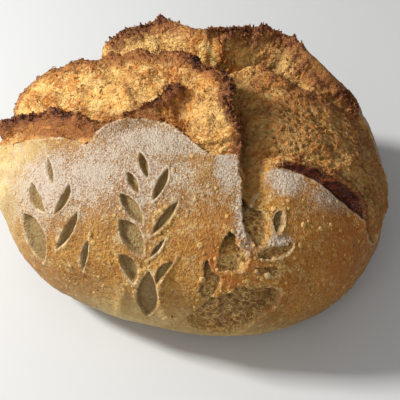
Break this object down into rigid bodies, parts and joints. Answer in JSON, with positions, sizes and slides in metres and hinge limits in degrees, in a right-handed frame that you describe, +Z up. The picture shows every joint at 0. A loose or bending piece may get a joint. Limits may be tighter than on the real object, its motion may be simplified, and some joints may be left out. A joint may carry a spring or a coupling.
{
  "type": "sourdough loaf",
  "caption": "Round scored sourdough loaf, baked whole: torn ridged top, raised burnt crust edges, floured front crust with leaf-shaped scores, flat base.",
  "frame": {"origin": "centre of the bounding box in plan, on the flat base", "axes": "+X to the loaf's right and -Y towards the scored front crust, seen from the front; +Z up from the base"},
  "size_m": [0.2302, 0.1956, 0.1184],
  "materials": {
    "crust": "baked bread crust, golden brown and mostly matt, burnt dark along the torn edges, dusted with flour"
  },
  "bodies": {
    "root": {"loaf": "crust"}
  },
  "joints": []
}
